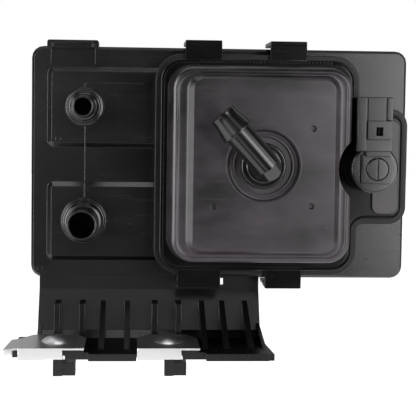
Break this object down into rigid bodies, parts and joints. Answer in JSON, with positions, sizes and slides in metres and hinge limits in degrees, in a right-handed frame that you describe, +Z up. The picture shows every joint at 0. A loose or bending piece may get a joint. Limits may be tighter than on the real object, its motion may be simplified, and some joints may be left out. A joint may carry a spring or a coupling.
{
  "type": "charcoal canister",
  "caption": "Black moulded fuel vapour canister: deep box case, two hose ports, front leak check module with elbow and connector, ribbed bracket with steel clips.",
  "frame": {"origin": "middle of the underside of the bracket shelf, where the canister rests on the vehicle", "axes": "+X to the right seen from the port side, +Y from the ports into the case, +Z up"},
  "size_m": [0.2306, 0.2859, 0.1828],
  "materials": {
    "bed_spring": "oiled spring wire",
    "canister_case": "satin moulded black nylon, finely grained",
    "charcoal": "packed carbon pellets",
    "circuit_board": "green solder resist",
    "coil_bobbin": "natural moulded",
    "coil_winding": "enamelled copper wire",
    "connector_body": "smooth moulded black nylon",
    "connector_terminal": "tinned",
    "elbow_nozzle": "smooth moulded black nylon",
    "filter_foam": "grey open foam",
    "module_cover": "satin moulded black nylon",
    "module_seal": "matt black",
    "module_tray": "satin moulded black nylon",
    "o_ring": "matt black",
    "pressure_plate": "natural moulded",
    "pressure_sensor": "moulded",
    "pump_base_plate": "ground",
    "pump_end_plate": "ground",
    "pump_motor": "plated drawn can",
    "pump_ring": "ground",
    "pump_rotor": "sintered",
    "pump_screw": "zinc plate",
    "pump_vane": "carbon",
    "rear_cover": "satin moulded black nylon",
    "slotted_plug": "smooth moulded black nylon",
    "spring_clip": "bright zinc plate",
    "valve_plunger": "plated",
    "valve_seal": "matt black",
    "valve_spring": "spring wire",
    "valve_yoke": "folded strip"
  },
  "bodies": {
    "canister": {"air_filter": "filter_foam", "bed_spring_lower": "bed_spring", "bed_spring_upper": "bed_spring", "canister_case": "canister_case", "charcoal_bed_lower": "charcoal", "charcoal_bed_upper": "charcoal", "circuit_board": "circuit_board", "coil_bobbin": "coil_bobbin", "coil_winding": "coil_winding", "connector_body": "connector_body", "connector_o_ring": "o_ring", "connector_terminal_1": "connector_terminal", "connector_terminal_2": "connector_terminal", "connector_terminal_3": "connector_terminal", "connector_terminal_4": "connector_terminal", "elbow_nozzle": "elbow_nozzle", "elbow_o_ring": "o_ring", "front_filter_lower": "filter_foam", "front_filter_upper": "filter_foam", "module_cover": "module_cover", "module_seal": "module_seal", "module_tray": "module_tray", "pressure_plate_lower": "pressure_plate", "pressure_plate_upper": "pressure_plate", "pressure_sensor": "pressure_sensor", "pump_base_plate": "pump_base_plate", "pump_end_plate": "pump_end_plate", "pump_motor": "pump_motor", "pump_ring": "pump_ring", "pump_screw_1": "pump_screw", "pump_screw_2": "pump_screw", "pump_screw_3": "pump_screw", "rear_cover": "rear_cover", "rear_filter_lower": "filter_foam", "rear_filter_upper": "filter_foam", "slotted_plug": "slotted_plug", "spring_clip_left": "spring_clip", "spring_clip_right": "spring_clip", "valve_spring": "valve_spring", "valve_yoke": "valve_yoke", "vent_o_ring": "o_ring"},
    "pump_rotor": {"pump_rotor": "pump_rotor", "pump_vane_1": "pump_vane", "pump_vane_2": "pump_vane", "pump_vane_3": "pump_vane", "pump_vane_4": "pump_vane"},
    "vent_plunger": {"valve_plunger": "valve_plunger", "valve_seal": "valve_seal"}
  },
  "joints": [
    {"name": "pump_turn", "type": "hinge", "parent": "canister", "child": "pump_rotor", "pos_m": [0.0831, 0.0165, 0.1384], "axis": [0, -1, 0], "continuous": true},
    {"name": "vent_valve_slide", "type": "slide", "parent": "canister", "child": "vent_plunger", "axis": [0, 1, 0], "range_m": [0, 0.0018], "stiffness_N_per_m": 150, "springref_m": -0.0015}
  ]
}
